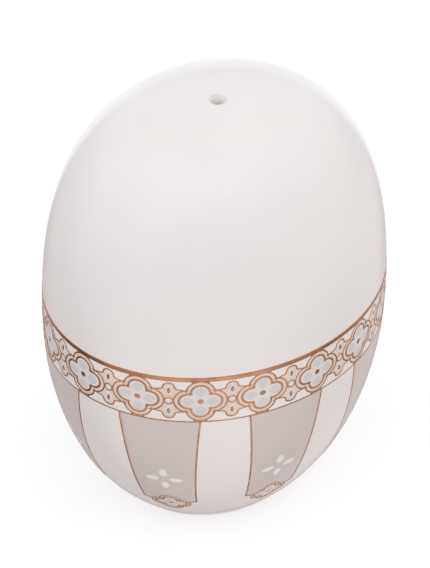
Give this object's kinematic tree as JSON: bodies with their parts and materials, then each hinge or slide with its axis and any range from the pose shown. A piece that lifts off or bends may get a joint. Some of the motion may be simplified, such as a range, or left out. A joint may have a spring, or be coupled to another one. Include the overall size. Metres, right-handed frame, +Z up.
{
  "type": "salt shaker",
  "caption": "Egg-shaped oval porcelain salt shaker with one pouring hole in its crown and a soft stopper in its base.",
  "frame": {"origin": "on the foot plane, under the middle of the body", "axes": "+Z up to the crown, X along the body's long side, Y along its short side"},
  "size_m": [0.0582, 0.0502, 0.0765],
  "materials": {
    "porcelain": "glossy white glaze, with a bare foot ring",
    "gilding": "fired copper-gold line work",
    "grey_enamel": "warm grey overglaze colour, glossy",
    "pale_enamel": "pale raised enamel, glossy",
    "stopper": "soft white silicone, satin"
  },
  "bodies": {
    "shaker_body": {"porcelain_body": "porcelain"},
    "stopper": {"stopper": "stopper"}
  },
  "joints": [
    {"name": "stopper_pull", "type": "slide", "parent": "shaker_body", "child": "stopper", "axis": [0, 0, -1], "range_m": [0, 0.025]}
  ]
}
